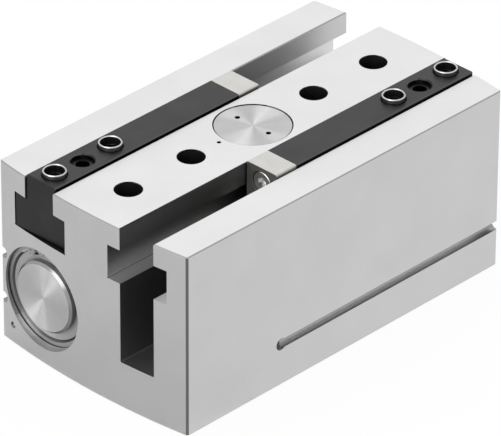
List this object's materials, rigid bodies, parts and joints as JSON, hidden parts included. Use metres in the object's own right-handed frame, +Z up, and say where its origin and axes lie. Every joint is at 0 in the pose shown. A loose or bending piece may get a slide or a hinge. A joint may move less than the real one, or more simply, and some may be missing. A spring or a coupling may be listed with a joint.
{
  "type": "parallel gripper",
  "caption": "Pneumatic parallel gripper: sliding jaws in T-slots of a rectangular aluminium housing, driven by pistons and tied together by a rack and pinion.",
  "frame": {"origin": "middle of the mounting face", "axes": "+X along the jaw travel, towards the right jaw's outer end; +Z up through the jaws"},
  "size_m": [0.134, 0.075, 0.0613],
  "materials": {
    "anodised_aluminium": "clear anodised, fine blasted",
    "turned_aluminium": "turned",
    "pale_alloy": "milled",
    "black_nitrided_steel": "black nitrided, ground",
    "hardened_steel": "hardened",
    "ground_steel": "ground",
    "polished_steel": "polished",
    "screw_steel": "zinc plated",
    "spring_steel": "phosphated and oiled",
    "bronze": "sintered",
    "nitrile_rubber": "matt",
    "bonded_magnet": "plastic bonded ferrite"
  },
  "bodies": {
    "housing_body": {"housing": "anodised_aluminium", "pinion_cover": "turned_aluminium", "pinion_shaft": "ground_steel", "thrust_washers": "bronze", "air_channel_plugs": "ground_steel", "left_end_cover": "turned_aluminium", "left_cover_seal": "nitrile_rubber", "left_retaining_ring": "spring_steel", "left_rod_bush": "bronze", "left_rod_seal": "nitrile_rubber", "left_seal_retainer": "spring_steel", "right_end_cover": "turned_aluminium", "right_cover_seal": "nitrile_rubber", "right_retaining_ring": "spring_steel", "right_rod_bush": "bronze", "right_rod_seal": "nitrile_rubber", "right_seal_retainer": "spring_steel"},
    "left_slide": {"left_jaw": "black_nitrided_steel", "left_driver": "pale_alloy", "left_driver_screws": "screw_steel", "left_rod_screw": "screw_steel", "left_centring_sleeves": "polished_steel", "left_piston_rod": "ground_steel", "left_piston": "turned_aluminium", "left_piston_seals": "nitrile_rubber", "left_piston_magnet": "bonded_magnet", "left_piston_nut": "screw_steel", "left_piston_buffers": "nitrile_rubber"},
    "right_slide": {"right_jaw": "black_nitrided_steel", "right_driver": "pale_alloy", "right_driver_screws": "screw_steel", "right_rod_screw": "screw_steel", "right_centring_sleeves": "polished_steel", "right_piston_rod": "ground_steel", "right_piston": "turned_aluminium", "right_piston_seals": "nitrile_rubber", "right_piston_magnet": "bonded_magnet", "right_piston_nut": "screw_steel", "right_piston_buffers": "nitrile_rubber"},
    "pinion_wheel": {"pinion": "hardened_steel", "pinion_bush": "bronze"}
  },
  "joints": [
    {"name": "left_jaw_slide", "type": "slide", "parent": "housing_body", "child": "left_slide", "axis": [1, 0, 0], "range_m": [0, 0.04]},
    {"name": "right_jaw_slide", "type": "slide", "parent": "housing_body", "child": "right_slide", "axis": [-1, 0, 0], "range_m": [0, 0.04]},
    {"name": "pinion_spin", "type": "hinge", "parent": "housing_body", "child": "pinion_wheel", "pos_m": [0, 0, 0.0465], "axis": [0, 0, 1], "range_deg": [-230, 0]}
  ],
  "couplings": [
    {"joint": "right_jaw_slide", "follows": "left_jaw_slide", "ratio": 1},
    {"joint": "pinion_spin", "follows": "left_jaw_slide", "rad_per_m": -100}
  ]
}
